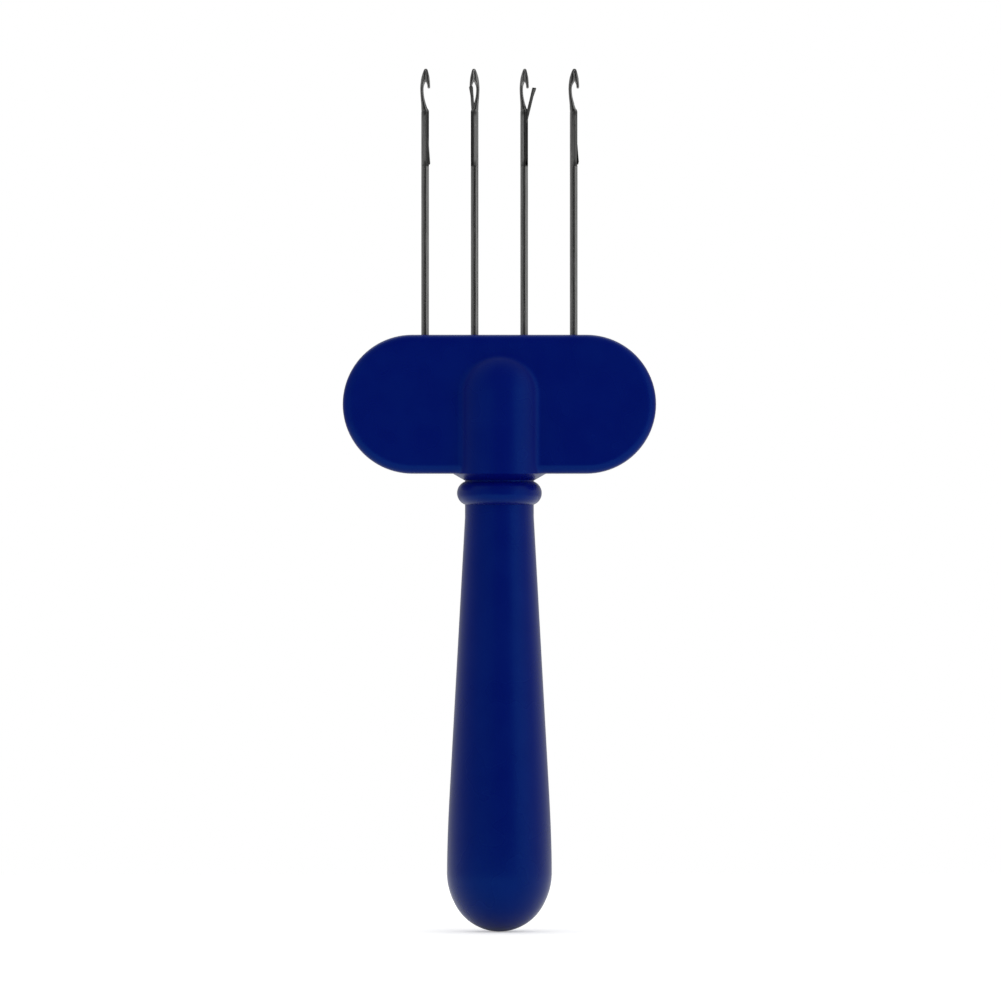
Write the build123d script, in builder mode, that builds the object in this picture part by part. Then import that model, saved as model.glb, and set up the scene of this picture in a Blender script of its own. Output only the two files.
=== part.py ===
from build123d import *
from math import asin, atan2, cos, degrees, hypot, radians, sin, sqrt
import os

# Latch hook tool: a plastic handle and head that carry four steel latch needles.
# Millimetres. +Z runs up the tool from the handle's butt to the needles' tips, and the head's broad
# face looks along -Y. The origin is the lowest point of the butt, on the handle's axis.

# Handle
handle_length = 86.5  # from the butt to the shoulder that the head sits on
grip_radius = 10.05  # also the radius of the butt's half sphere
flank_radius = 9.45  # where the taper begins
flank_height = 28.3
flank_hollow = 3000.0  # radius of the taper's very slight hollow
neck_radius = 6.6
neck_land = 7.0  # from the shoulder down to the end of the taper
bead_radius = 8.13
bead_section = 2.4
tenon_radius = 4.9
tenon_length = 15.0

# Head
head_width = 60.0
head_height = 26.6
head_thickness = 10.4
rim_bevel_width = 1.4  # of the rim's bevel, on the broad faces
rim_bevel_depth = 0.6
head_lift = 1.3  # from the shoulder up to the plate's lower edge
boss_radius = 8.9
boss_foot_radius = 6.65
boss_foot_height = 1.2
boss_dome_drop = 11.2  # from the plate's upper edge down to the dome's centre
socket_gap = 0.05  # glued fit of the tenon, on the radius
socket_room = 0.3  # left over the tenon's end

# Needles. A needle's turn is the direction of its hook's open side, in degrees from +X.
needle_pitch = 9.5
needle_turns = (-25.0, 205.0, -36.0, 0.0)
needle_reach = 51.1  # out of the head
needle_seat = 8.0  # inside the head
needle_gap = 0.02  # glued fit in the head, on the radius
wire_radius = 0.74

# Cheeks: the slotted part of a needle that holds the latch
cheek_thickness = 1.24  # across the two flats
flat_width = 0.9
flat_rise = 1.6  # of the flats above the mouth
slot_rise = 1.6  # of the slot above the mouth

# Hook
hook_height = 8.3  # from the mouth of the cheeks to the tip
hook_wire_radius = 0.32
hook_stem_setback = 0.68
hook_stem_drop = 3.9  # from the tip down to the straight part of the stem
hook_crown_offset = 0.14
beak_offset = 0.79
beak_drop = 3.58  # from the tip down to the centre of the beak's rounded end
beak_end_share = 0.82
hook_facets = 8  # round the drawn-out wire

# The scoop from the cheeks to the hook's stem. Each row is a share of the way up, then the share of
# the way that the back and the open side have gone from the shank's place to the stem's.
scoop_shares = (
    (0.00, 0.02, 0.02),
    (0.12, 0.08, 0.26),
    (0.34, 0.20, 0.56),
    (0.68, 0.72, 0.90),
    (1.00, 1.00, 1.00),
)
stem_shares = (0.36, 0.70)  # places of its sections, from the stem's foot to the crown
beak_shares = (0.68, 0.30)  # and of the beak's, from the beak's end to the crown
# The beak's rounded end: each row is a share of the end radius down and the share left of it.
beak_round_shares = ((0.00, 1.00), (0.80, 0.58))

# Latch and rivet
pivot_offset = 0.15
latch_reach = 7.32  # height from the pivot to the centre of the cup, when closed
latch_thickness = 0.32
latch_gap = 0.04  # free play on each side of the blade
latch_eye_radius = 0.40
latch_root_height = 0.50
latch_end_height = 0.32
cup_offset = 0.12  # the cup's centre lies outside the blade's middle line
cup_gap = 0.03  # between the cup and the beak's end
cup_wall = 0.11
cup_depth = 0.33
cup_lip = 0.08  # the cup ends this far past its centre
latch_facets = 8  # round the cup and the eye
cup_neck = 1.15  # length over which the blade widens into the cup
pocket_gap = 0.05  # between the folded cup and its pocket in the cheeks
folded_lean = 4.8  # of the folded latch, in degrees from straight down
rivet_radius = 0.18
rivet_seat_gap = 0.01
rivet_running_gap = 0.04

# How far each latch stands open at rest, as a share of its whole swing
latch_open_shares = (1.0, 0.0, 0.075, 1.0)

# One overrun for every cut that has to pass a surface
overrun = 1.0

# Places that follow from the sizes above
bead_height = handle_length - bead_section
bead_rise = sqrt(bead_section**2 - (neck_radius - bead_radius + bead_section) ** 2)
head_low = handle_length + head_lift
head_top = head_low + head_height
head_middle = head_low + head_height / 2
boss_dome_height = head_top - boss_dome_drop
tip_height = head_top + needle_reach
mouth_height = tip_height - hook_height
beak_height = tip_height - beak_drop
beak_end_radius = hook_wire_radius * beak_end_share
pivot_height = beak_height - latch_reach

# The latch seen from its side: its cup meets the beak when it is closed.
cup_distance = hypot(beak_offset - pivot_offset, latch_reach)
cup_along = sqrt(cup_distance**2 - cup_offset**2)
cup_angle = degrees(atan2(beak_offset - pivot_offset, latch_reach))
closed_lean = cup_angle - degrees(asin(cup_offset / cup_distance))
latch_swing = 180 - folded_lean - closed_lean
cup_inner = beak_end_radius + cup_gap
cup_outer = cup_inner + cup_wall

# The cup's place when the latch is folded back into the slot
folded_cup_offset = (
    pivot_offset + cup_along * sin(radians(folded_lean)) - cup_offset * cos(radians(folded_lean))
)
folded_cup_height = (
    pivot_height - cup_along * cos(radians(folded_lean)) - cup_offset * sin(radians(folded_lean))
)
pocket_radius = cup_outer + pocket_gap
cheek_foot = folded_cup_height - pocket_radius
slot_width = latch_thickness + 2 * latch_gap

stations = [(number - 1.5) * needle_pitch for number in range(4)]


def side_plane(station, turn):
    """Plane of a needle's side view: x out of the hook's open side, y up, z along the rivet."""
    out = (cos(radians(turn)), sin(radians(turn)), 0)
    across = (sin(radians(turn)), -cos(radians(turn)), 0)
    return Plane(origin=(station, 0, 0), x_dir=out, z_dir=across)


def level_plane(side, height):
    """Level plane at a height on the needle."""
    return Plane(origin=side.from_local_coords((0, height, 0)), x_dir=side.x_dir, z_dir=(0, 0, 1))


def wire_plane(side, offset, height, direction):
    """Plane square to the wire at a place of the side view, for a direction in the same view."""
    return Plane(
        origin=side.from_local_coords((offset, height, 0)),
        x_dir=side.z_dir,
        z_dir=side.x_dir * direction[0] + side.y_dir * direction[1],
    )


def bend_radius(run, rise):
    """Radius of an arc that sets out upright and leans over by a run in a rise."""
    return (run**2 + rise**2) / (2 * run)


def latch_plane(side, lean):
    """Plane of a latch's side view: origin at the pivot, x along the blade, y towards the hook."""
    along = side.x_dir * sin(radians(lean)) + side.y_dir * cos(radians(lean))
    return Plane(
        origin=side.from_local_coords((pivot_offset, pivot_height, 0)), x_dir=along, z_dir=side.z_dir
    )


# Handle: one turned shape with the grip, the neck, the bead and the tenon
with BuildPart() as handle:
    with BuildSketch(Plane.XZ):
        with BuildLine():
            butt = CenterArc((0, grip_radius), grip_radius, 270, 90)
            flank = RadiusArc(
                (flank_radius, flank_height), (neck_radius, handle_length - neck_land), flank_hollow
            )
            Spline(butt @ 1, flank @ 0, tangents=(butt % 1, flank % 0))
            land = Line(flank @ 1, (neck_radius, bead_height - bead_rise))
            bead = ThreePointArc(
                land @ 1, (bead_radius, bead_height), (neck_radius, bead_height + bead_rise)
            )
            groove = Line(bead @ 1, (neck_radius, handle_length))
            shoulder = Line(groove @ 1, (tenon_radius, handle_length))
            tenon = Line(shoulder @ 1, (tenon_radius, handle_length + tenon_length))
            tenon_end = Line(tenon @ 1, (0, handle_length + tenon_length))
            Line(tenon_end @ 1, butt @ 0)
        make_face()
    revolve(axis=Axis.Z)
handle.part.label = "handle"

# Head: an obround plate with a domed boss through its middle
with BuildPart() as head:
    with BuildSketch(Plane.XZ):
        with Locations((0, head_middle)):
            SlotOverall(head_width, head_height)
    extrude(amount=head_thickness / 2, both=True)
    for face in head.faces().filter_by(Axis.Y):
        chamfer(face.edges(), rim_bevel_width, rim_bevel_depth, reference=face)
    with BuildSketch(Plane.XZ):
        with BuildLine():
            foot = Line((0, handle_length), (boss_foot_radius, handle_length))
            cone = Line(foot @ 1, (boss_radius, handle_length + boss_foot_height))
            wall = Line(cone @ 1, (boss_radius, boss_dome_height))
            dome = CenterArc((0, boss_dome_height), boss_radius, 0, 90)
            Line(dome @ 1, foot @ 0)
        make_face()
    revolve(axis=Axis.Z)
    with BuildSketch(Plane.XY.offset(handle_length)):
        Circle(tenon_radius + socket_gap)
    extrude(amount=tenon_length + socket_room, mode=Mode.SUBTRACT)
    for station, turn in zip(stations, needle_turns):
        side = side_plane(station, turn)
        with BuildSketch(level_plane(side, head_top)):
            Circle(wire_radius + needle_gap)
        extrude(amount=-needle_seat, mode=Mode.SUBTRACT)
head.part.label = "head"


def wire_sections(side):
    """Planes and radii of the hook's wire, from the cheeks over the crown to the beak's end."""
    upright = (0, 1)
    stem_height = tip_height - hook_stem_drop
    stem_back = hook_stem_setback + hook_wire_radius
    stem_front = hook_wire_radius - hook_stem_setback
    sections = []
    for up_share, back_share, front_share in scoop_shares:
        height = mouth_height + up_share * (stem_height - mouth_height)
        back = wire_radius + back_share * (stem_back - wire_radius)
        front = wire_radius + front_share * (stem_front - wire_radius)
        sections.append((wire_plane(side, (front - back) / 2, height, upright), (front + back) / 2))

    # Stem and beak follow two arcs that meet in a pointed crown.
    crown = (hook_crown_offset, tip_height - hook_wire_radius)
    stem_bend = bend_radius(crown[0] + hook_stem_setback, crown[1] - stem_height)
    beak_bend = bend_radius(crown[0] - beak_offset, crown[1] - beak_height)
    with BuildLine(mode=Mode.PRIVATE):
        stem = RadiusArc((-hook_stem_setback, stem_height), crown, stem_bend)
        beak = RadiusArc((beak_offset, beak_height), crown, beak_bend)
    for share in stem_shares:
        place, direction = stem @ share, stem % share
        sections.append((wire_plane(side, place.X, place.Y, (direction.X, direction.Y)), hook_wire_radius))
    sections.append((wire_plane(side, crown[0], crown[1], (1, 0)), hook_wire_radius))
    for share in beak_shares:
        place, direction = beak @ share, beak % share
        radius = beak_end_radius + share * (hook_wire_radius - beak_end_radius)
        sections.append((wire_plane(side, place.X, place.Y, (-direction.X, -direction.Y)), radius))
    for down_share, radius_share in beak_round_shares:
        height = beak_height - down_share * beak_end_radius
        plane = wire_plane(side, beak_offset, height, (0, -1))
        sections.append((plane, radius_share * beak_end_radius))
    return sections


def make_needle(side):
    """One needle: shank, slotted cheeks, scoop, stem and beak."""
    foot_height = head_top - needle_seat
    with BuildPart() as needle:
        with BuildSketch(level_plane(side, foot_height)):
            Circle(wire_radius)
        extrude(amount=mouth_height - foot_height)

        # Hook: the wire drawn out through its sections
        for plane, radius in wire_sections(side):
            with BuildSketch(plane):
                RegularPolygon(radius, hook_facets)
        loft(ruled=True)

        # Flats on both cheeks, with ends drawn as half octagons
        flat_top = mouth_height + flat_rise
        for facing in (1, -1):
            with BuildSketch(side.offset(facing * cheek_thickness / 2)):
                with Locations((0, cheek_foot + flat_width / 2), (0, flat_top - flat_width / 2)):
                    RegularPolygon(flat_width / 2, latch_facets, major_radius=False)
                make_hull()
            extrude(amount=facing * wire_radius, mode=Mode.SUBTRACT)

        # Slot: all that the blade sweeps on its way from closed to folded
        slot_half = latch_root_height / 2 + pocket_gap
        closed = latch_plane(side, closed_lean)
        folded = latch_plane(side, 180 - folded_lean)
        with BuildSketch(side):
            with Locations((pivot_offset, pivot_height)):
                RegularPolygon(latch_eye_radius + pocket_gap, latch_facets, major_radius=False)
            Polygon(
                *slot_outline(side, closed, folded, slot_half),
                align=None,
            )
        extrude(amount=slot_width / 2, both=True, mode=Mode.SUBTRACT)

        # Pocket for the folded cup, cut in from the open side
        pocket_floor = folded_cup_offset - pocket_radius
        pocket_plane = Plane(
            origin=side.from_local_coords((pocket_floor, folded_cup_height, 0)),
            x_dir=side.z_dir,
            z_dir=side.x_dir,
        )
        with BuildSketch(pocket_plane):
            RegularPolygon(pocket_radius, latch_facets, major_radius=False, rotation=180 / latch_facets)
            Polygon(
                (-pocket_radius, 0),
                (pocket_radius, 0),
                (slot_width / 2, -cup_neck),
                (-slot_width / 2, -cup_neck),
                align=None,
            )
        extrude(amount=wire_radius + overrun, mode=Mode.SUBTRACT)

        # Rivet hole
        with BuildSketch(side):
            with Locations((pivot_offset, pivot_height)):
                Circle(rivet_radius + rivet_seat_gap)
        extrude(amount=wire_radius + overrun, both=True, mode=Mode.SUBTRACT)
    return needle


def slot_outline(side, closed, folded, slot_half):
    """Corners of the slot in the side plane, from the blade's two end positions."""
    slot_up = mouth_height + slot_rise - pivot_height
    corners = [
        closed.from_local_coords((slot_up, slot_half, 0)),
        closed.from_local_coords((0, slot_half, 0)),
        folded.from_local_coords((0, -slot_half, 0)),
        folded.from_local_coords((cup_along - cup_neck / 2, -slot_half, 0)),
    ]
    points = [side.to_local_coords(corner) for corner in corners]
    points = [(point.X, point.Y) for point in points]
    outer = wire_radius + overrun
    return points + [(outer, points[-1][1]), (outer, points[0][1])]


def make_latch(plane):
    """One latch: blade with its eye, and a cup that closes over the beak's end."""
    with BuildPart() as latch:
        with BuildSketch(plane):
            RegularPolygon(latch_eye_radius, latch_facets)
            Polygon(
                (0, -latch_root_height / 2),
                (cup_along, -latch_end_height / 2),
                (cup_along, latch_end_height / 2),
                (0, latch_root_height / 2),
                align=None,
            )
        extrude(amount=latch_thickness / 2, both=True)

        # Neck: the blade widens into the cup. Its plane looks down into the cup.
        facing = Plane(
            origin=plane.from_local_coords((cup_along, 0, 0)), x_dir=plane.x_dir, z_dir=plane.y_dir
        )
        with BuildSketch(facing):
            Polygon(
                (-cup_neck, -latch_thickness / 2),
                (0, -cup_outer),
                (0, cup_outer),
                (-cup_neck, latch_thickness / 2),
                align=None,
            )
        extrude(amount=latch_end_height / 2, both=True)

        # Cup: a small bowl, open towards the hook and past the beak's end
        cup_floor = facing.offset(-cup_offset - cup_outer)
        with BuildSketch(cup_floor):
            RegularPolygon(cup_outer, latch_facets, major_radius=False, rotation=180 / latch_facets)
        extrude(amount=cup_outer + cup_depth)
        lip = Plane(
            origin=plane.from_local_coords((cup_along + cup_lip, 0, 0)),
            x_dir=plane.z_dir,
            z_dir=plane.x_dir,
        )
        with BuildSketch(lip):
            Rectangle(4 * cup_outer, 4 * cup_outer)
        extrude(amount=cup_outer, mode=Mode.SUBTRACT)
        with BuildSketch(cup_floor.offset(cup_wall)):
            RegularPolygon(cup_inner, latch_facets, major_radius=False, rotation=180 / latch_facets)
            with Locations((cup_outer, 0)):
                Rectangle(2 * cup_outer, 2 * cup_inner)
        extrude(amount=2 * cup_outer, mode=Mode.SUBTRACT)

        # Hole that runs on the rivet
        with BuildSketch(plane):
            Circle(rivet_radius + rivet_running_gap)
        extrude(amount=latch_thickness, both=True, mode=Mode.SUBTRACT)
    return latch


def make_rivet(side):
    """One rivet, flush with the flats of the cheeks."""
    with BuildPart() as rivet:
        with BuildSketch(side):
            with Locations((pivot_offset, pivot_height)):
                Circle(rivet_radius)
        extrude(amount=cheek_thickness / 2, both=True)
    return rivet


os.makedirs("parts", exist_ok=True)
export_step(handle.part, "parts/handle.step")
export_step(head.part, "parts/head.step")
for number, (station, turn, open_share) in enumerate(zip(stations, needle_turns, latch_open_shares), 1):
    side = side_plane(station, turn)
    needle = make_needle(side)
    needle.part.label = f"needle_{number}"
    export_step(needle.part, f"parts/needle_{number}.step")
    latch = make_latch(latch_plane(side, closed_lean + open_share * latch_swing))
    latch.part.label = f"latch_{number}"
    export_step(latch.part, f"parts/latch_{number}.step")
    rivet = make_rivet(side)
    rivet.part.label = f"rivet_{number}"
    export_step(rivet.part, f"parts/rivet_{number}.step")
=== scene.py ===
# %% [markdown]
# # A latch hook tool with four needles
# The tool has a turned handle of blue plastic, a flat obround head with a raised boss, and four steel
# latch needles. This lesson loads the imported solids, gives the big plastic pieces their soft
# edges, draws the needles' wire, and finishes every surface with a procedural material.

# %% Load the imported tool
from math import acos, asin, atan2, cos, degrees, hypot, pi, radians, sin, sqrt

import bmesh
import bpy
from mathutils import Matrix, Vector


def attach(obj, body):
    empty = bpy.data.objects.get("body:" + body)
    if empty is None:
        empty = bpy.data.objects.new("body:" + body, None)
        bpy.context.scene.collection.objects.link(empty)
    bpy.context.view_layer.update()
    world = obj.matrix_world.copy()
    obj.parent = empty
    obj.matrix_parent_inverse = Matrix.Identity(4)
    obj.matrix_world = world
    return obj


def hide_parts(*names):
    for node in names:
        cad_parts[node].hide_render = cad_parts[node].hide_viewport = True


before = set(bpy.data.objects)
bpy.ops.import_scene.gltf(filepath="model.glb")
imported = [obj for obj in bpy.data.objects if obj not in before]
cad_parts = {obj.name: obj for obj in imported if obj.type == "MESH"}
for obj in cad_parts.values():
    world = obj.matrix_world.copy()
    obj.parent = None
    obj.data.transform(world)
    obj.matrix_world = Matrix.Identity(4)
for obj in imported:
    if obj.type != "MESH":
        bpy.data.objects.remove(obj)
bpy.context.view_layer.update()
print("nodes:", sorted(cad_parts))

# %% [markdown]
# ## Sizes
# Blender works in metres, and a tool like this is easier to think about in millimetres, so every
# size below is a number of millimetres times MM. The heights are measured from the handle's butt.

# %% Sizes of the plastic pieces
MM = 0.001
SHOULDER = 86.5 * MM  # where the head sits on the handle
HEAD_LOW = SHOULDER + 1.3 * MM
HEAD_WIDTH = 60.0 * MM
HEAD_HEIGHT = 26.6 * MM
HEAD_THICKNESS = 10.4 * MM
HEAD_TOP = HEAD_LOW + HEAD_HEIGHT
print("the head's upper edge is", round(HEAD_TOP / MM, 2), "mm up")

# %% [markdown]
# ## Node helpers
# A material is a small network of nodes. These helpers keep the networks below short: they feed a
# socket, link several nodes, do a sum, make a soft-edged mask and mix two colours.

# %% Node helpers
def feed(tree, socket, value):
    """Link a socket to another node's output, or set it to a plain number or colour."""
    if isinstance(value, bpy.types.NodeSocket):
        tree.links.new(value, socket)
    else:
        socket.default_value = value


def connect(tree, *rows):
    """Link nodes; each row is a node, its output, the next node and its input."""
    for source, output, target, entry in rows:
        tree.links.new(source.outputs[output], target.inputs[entry])


def arithmetic(tree, operation, *values):
    """One sum, product or other calculation; each value is a socket or a plain number."""
    node = tree.nodes.new("ShaderNodeMath")
    node.operation = operation
    for socket, value in zip(node.inputs, values):
        feed(tree, socket, value)
    return node.outputs["Value"]


def smooth_step(tree, value, places, levels):
    """A number that eases between two levels while the value runs between two places."""
    step = tree.nodes.new("ShaderNodeMapRange")
    step.interpolation_type = "SMOOTHSTEP"
    for title, number in zip(("From Min", "From Max", "To Min", "To Max"), (*places, *levels)):
        step.inputs[title].default_value = number
    tree.links.new(value, step.inputs["Value"])
    return step.outputs["Result"]


def blend(tree, share, first, second):
    """A colour between two others, each of them a socket or a plain colour."""
    mix = tree.nodes.new("ShaderNodeMix")
    mix.data_type = "RGBA"
    tree.links.new(share, mix.inputs["Factor"])
    colours = [socket for socket in mix.inputs if socket.type == "RGBA"]
    for socket, value in zip(colours, (first, second)):
        feed(tree, socket, value)
    return next(socket for socket in mix.outputs if socket.type == "RGBA")


print("node helpers ready")

# %% [markdown]
# ## One surface pattern for every material
# Plastic and steel both look real through small differences: a colour that wanders a little, a
# roughness that changes in patches, and fine grain. One more input darkens the colour towards near
# black, which paints shade wherever a material feeds it a share. These are the same effects with
# other numbers, so they are one shader group with named inputs and outputs.
# It reads Object coordinates, so that the patterns stay on the pieces.

# %% Surface pattern group
PATTERN_INPUTS = (
    ("Dark", "Color"), ("Light", "Color"),
    ("Roughness Low", "Float"), ("Roughness High", "Float"),
    ("Mottle Scale", "Float"), ("Patch Scale", "Float"), ("Grain Scale", "Float"),
    ("Stretch", "Vector"), ("Relief", "Float"), ("Painted Shade", "Float"),
)
PATTERN_OUTPUTS = (("Color", "Color"), ("Roughness", "Float"), ("Normal", "Vector"))
# Near-black colour of painted shade, mixed in where a material feeds the group a share of it
PAINTED_SHADE_COLOUR = (0.012, 0.012, 0.012, 1)
MOTTLE_RANGE = (0.35, 0.65)  # the noise's values between which the colour changes
PATCH_RANGE = (0.3, 0.7)
RELIEF_HEIGHT = 0.01 * MM


def add_sockets(tree, in_out, sockets):
    """Give a tree its named inputs or outputs, from (name, kind) pairs."""
    for name, kind in sockets:
        tree.interface.new_socket(name, in_out=in_out, socket_type="NodeSocket" + kind)


def surface_pattern():
    """A shader group that makes a colour, a roughness and a normal from noise on the piece."""
    tree = bpy.data.node_groups.new("surface pattern", "ShaderNodeTree")
    add_sockets(tree, "INPUT", PATTERN_INPUTS)
    add_sockets(tree, "OUTPUT", PATTERN_OUTPUTS)
    given, result = tree.nodes.new("NodeGroupInput"), tree.nodes.new("NodeGroupOutput")
    place, mapping = tree.nodes.new("ShaderNodeTexCoord"), tree.nodes.new("ShaderNodeMapping")
    connect(tree, (place, "Object", mapping, "Vector"), (given, "Stretch", mapping, "Scale"))
    noises = []
    for name in ("Mottle", "Patch", "Grain"):
        noise = tree.nodes.new("ShaderNodeTexNoise")
        connect(tree, (mapping, "Vector", noise, "Vector"), (given, name + " Scale", noise, "Scale"))
        noises.append(noise)
    mottle, patch, grain = noises

    share = smooth_step(tree, mottle.outputs["Fac"], MOTTLE_RANGE, (0, 1))
    colour = blend(tree, share, given.outputs["Dark"], given.outputs["Light"])
    # Painted shade: the colour is darkened towards near black by the share fed in
    shaded_colour = blend(tree, given.outputs["Painted Shade"], colour, PAINTED_SHADE_COLOUR)
    tree.links.new(shaded_colour, result.inputs["Color"])

    rough, bump = tree.nodes.new("ShaderNodeMapRange"), tree.nodes.new("ShaderNodeBump")
    rough.inputs["From Min"].default_value, rough.inputs["From Max"].default_value = PATCH_RANGE
    bump.inputs["Distance"].default_value = RELIEF_HEIGHT
    connect(
        tree,
        (patch, "Fac", rough, "Value"),
        (given, "Roughness Low", rough, "To Min"),
        (given, "Roughness High", rough, "To Max"),
        (rough, "Result", result, "Roughness"),
        (given, "Relief", bump, "Strength"),
        (grain, "Fac", bump, "Height"),
        (bump, "Normal", result, "Normal"),
    )
    return tree


SURFACE_PATTERN = surface_pattern()
print("group ready:", SURFACE_PATTERN.name)

# %% [markdown]
# ## Blue plastic
# The handle and the head are moulded in a deep, saturated blue with a satin skin. What the skin
# throws straight back is tinted blue, so that the front stays deep, and what grazes it is white.

# %% Blue plastic
def patterned(name, dark, light, roughness, scales, relief, stretch=(1, 1, 1)):
    """A material with the surface pattern: the material, its pattern group and its shader.

    The roughness is a low and a high level. The scales are those of mottle, patches and grain."""
    material = bpy.data.materials.new(name)
    material.use_nodes = True
    tree = material.node_tree
    shader = tree.nodes["Principled BSDF"]
    group = tree.nodes.new("ShaderNodeGroup")
    group.node_tree = SURFACE_PATTERN
    for (title, _), value in zip(PATTERN_INPUTS, (dark, light, *roughness, *scales, stretch, relief, 0)):
        group.inputs[title].default_value = value
    connect(
        tree,
        (group, "Color", shader, "Base Color"),
        (group, "Roughness", shader, "Roughness"),
        (group, "Normal", shader, "Normal"),
    )
    return material, group, shader


plastic, _, plastic_shader = patterned(
    "blue plastic",
    dark=(0.0002, 0.0018, 0.103, 1),
    light=(0.0003, 0.0024, 0.107, 1),
    roughness=(0.25, 0.31),
    scales=(180, 90, 2600),
    relief=0.2,
)
plastic_shader.inputs["IOR"].default_value = 1.47
plastic_shader.inputs["Specular Tint"].default_value = (0.08, 0.45, 1.0, 1)
print("material:", plastic.name)

# %% [markdown]
# ## Steel
# Needles are drawn through a die and the latches are pressed from strip, so fine lines run along
# both: the noise is stretched along the tool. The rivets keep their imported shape, so they only get
# a material here.

# %% Drawn steel
NEEDLE_COUNT = 4
LINE_SCALE = 9000
LINE_STRETCH = (1, 1, 0.02)


def drawn_steel(name, dark, light, dull):
    """Steel with fine lines along it, from two greys and a middle roughness."""
    material, group, shader = patterned(
        name,
        dark=(dark, dark, 0.985 * dark, 1),
        light=(light, light, 0.98 * light, 1),
        roughness=(dull - 0.06, dull + 0.08),
        scales=(LINE_SCALE, LINE_SCALE, LINE_SCALE),
        relief=0.15,
        stretch=LINE_STRETCH,
    )
    shader.inputs["Metallic"].default_value = 1.0
    return material, group, shader


# The latches' greys are darker than the wire's: painted shade for the shadow the latches lie in
shaded_latch_steel, _, _ = drawn_steel("pressed latch steel with painted shade", 0.11, 0.18, 0.30)
rivet_steel, _, _ = drawn_steel("rivet steel", 0.30, 0.44, 0.30)
for number in range(1, NEEDLE_COUNT + 1):
    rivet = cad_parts[f"rivet_{number}"]
    rivet.data.materials.clear()
    rivet.data.materials.append(rivet_steel)
print("materials:", shaded_latch_steel.name, rivet_steel.name)

# %% [markdown]
# ## Milled steel with painted shade
# The needle's cheeks are milled, which leaves them duller than the drawn wire. Painted shade darkens
# the slot's open side and bands at the mouth and at the pocket of the folded latch, where the slot
# lies in shadow. Both follow from where a spot is on the needle. Every needle stores that in an
# attribute before it is turned and placed, so the marks lie on the same spots of all four. Each
# mask eases between two places: outwards, across or upwards.

# %% Steel of the needles
WIRE_RADIUS = 0.74 * MM
HEAD_REACH = 51.1 * MM  # from the head's upper edge to the tips
TIP_HEIGHT = HEAD_TOP + HEAD_REACH
MOUTH_HEIGHT = TIP_HEIGHT - 8.3 * MM  # where the cheeks end and the scoop begins
POCKET_HEIGHT = 147.3 * MM  # where the folded latch's cup lies

CHEEKS_TOP = (MOUTH_HEIGHT - 0.1 * MM, MOUTH_HEIGHT + 0.4 * MM)
CHEEKS_FOOT = (POCKET_HEIGHT - 0.7 * MM, POCKET_HEIGHT - 0.4 * MM)
# Painted shade: bands at the mouth and at the pocket of the folded latch, where the slot lies in shadow
SHADED_MOUTH = (MOUTH_HEIGHT - 1.0 * MM, MOUTH_HEIGHT - 0.2 * MM)
SHADED_POCKET = (POCKET_HEIGHT, POCKET_HEIGHT + 0.9 * MM)
INNER_HALF = (-0.30 * MM, 0.20 * MM)
OPEN_SIDE = (0.42 * MM, 0.57 * MM)
FLAT_FACES = (0.605 * MM, 0.615 * MM)
# How dark the painted shade is along the slot's open side and in the bands at its ends
SLOT_SHADE = 0.8
END_SHADE = 0.6
MILLED_ROUGHNESS = 0.22  # what the milled flats add


def needle_steel():
    """Drawn steel that is dull where it was milled, with painted shade along the slot and at its ends."""
    material, group, shader = drawn_steel("drawn wire steel", 0.30, 0.42, 0.26)
    tree = material.node_tree
    spot, parts = tree.nodes.new("ShaderNodeAttribute"), tree.nodes.new("ShaderNodeSeparateXYZ")
    spot.attribute_name = "made_at"
    connect(tree, (spot, "Vector", parts, "Vector"))
    out, across, up = (parts.outputs[axis] for axis in "XYZ")
    below_mouth = smooth_step(tree, up, CHEEKS_TOP, (1, 0))
    above_foot = smooth_step(tree, up, CHEEKS_FOOT, (0, 1))
    cheeks = arithmetic(tree, "MULTIPLY", below_mouth, above_foot)

    # Painted shade in bands at the mouth and at the pocket, on the slot's side of the needle
    near_mouth = smooth_step(tree, up, SHADED_MOUTH, (0, END_SHADE))
    near_pocket = smooth_step(tree, up, SHADED_POCKET, (END_SHADE, 0))
    ends = arithmetic(tree, "MAXIMUM", near_mouth, near_pocket)
    ends = arithmetic(tree, "MULTIPLY", ends, smooth_step(tree, out, INNER_HALF, (0, 1)))
    # Painted shade along the slot's open side, joined with the bands and kept to the cheeks
    painted_shade = arithmetic(tree, "MAXIMUM", smooth_step(tree, out, OPEN_SIDE, (0, SLOT_SHADE)), ends)
    tree.links.new(arithmetic(tree, "MULTIPLY", painted_shade, cheeks), group.inputs["Painted Shade"])

    flats = smooth_step(tree, arithmetic(tree, "ABSOLUTE", across), FLAT_FACES, (0, MILLED_ROUGHNESS))
    milled = arithmetic(tree, "MULTIPLY", flats, cheeks)
    rough = arithmetic(tree, "ADD", group.outputs["Roughness"], milled)
    tree.links.new(rough, shader.inputs["Roughness"])
    return material


wire_steel = needle_steel()
print("material:", wire_steel.name, "for needles that reach", round(TIP_HEIGHT / MM, 2), "mm up")

# %% [markdown]
# ## Pieces
# A piece is a mesh whose object stays at the origin, so that its place is in its vertices. What its
# modifiers make is turned into a plain mesh, because only that is exported. Faces that meet at less
# than the given angle are shaded as one smooth surface.

# %% Helpers for pieces
def link_piece(mesh, name):
    """An object at the origin that shows a mesh."""
    piece = bpy.data.objects.new(name, mesh)
    bpy.context.scene.collection.objects.link(piece)
    return piece


def settle(piece):
    """Turn what a piece's modifiers make into its plain mesh."""
    evaluated = piece.evaluated_get(bpy.context.evaluated_depsgraph_get())
    piece.data = bpy.data.meshes.new_from_object(evaluated)
    piece.modifiers.clear()
    return piece


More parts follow.
